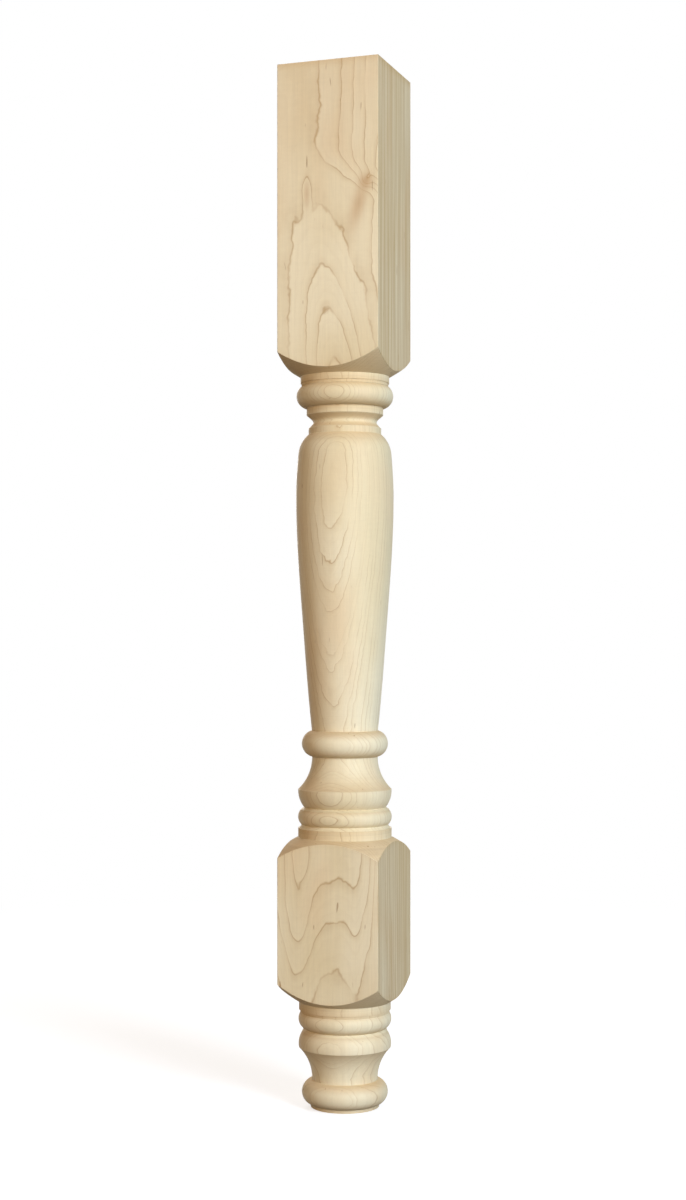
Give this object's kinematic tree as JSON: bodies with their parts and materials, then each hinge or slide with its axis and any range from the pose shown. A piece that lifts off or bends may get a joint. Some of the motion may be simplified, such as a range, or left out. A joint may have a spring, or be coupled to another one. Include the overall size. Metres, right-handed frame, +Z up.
{
  "type": "kitchen island post",
  "caption": "Turned solid maple kitchen island post with square blocks above and below a vase-shaped turning and a short turned foot; carries a worktop corner and takes rails on its flat faces.",
  "frame": {"origin": "centre of the flat face under the turned foot, on the floor", "axes": "+Z up along the post's own turning axis; +X and +Y square to the flat faces of the blocks; the cathedral-grained face looks along -Y"},
  "size_m": [0.0888, 0.0888, 0.8763],
  "materials": {
    "maple": "turned and sanded hard maple, unfinished, matt satin"
  },
  "bodies": {
    "root": {"island_post": "maple"}
  },
  "joints": []
}
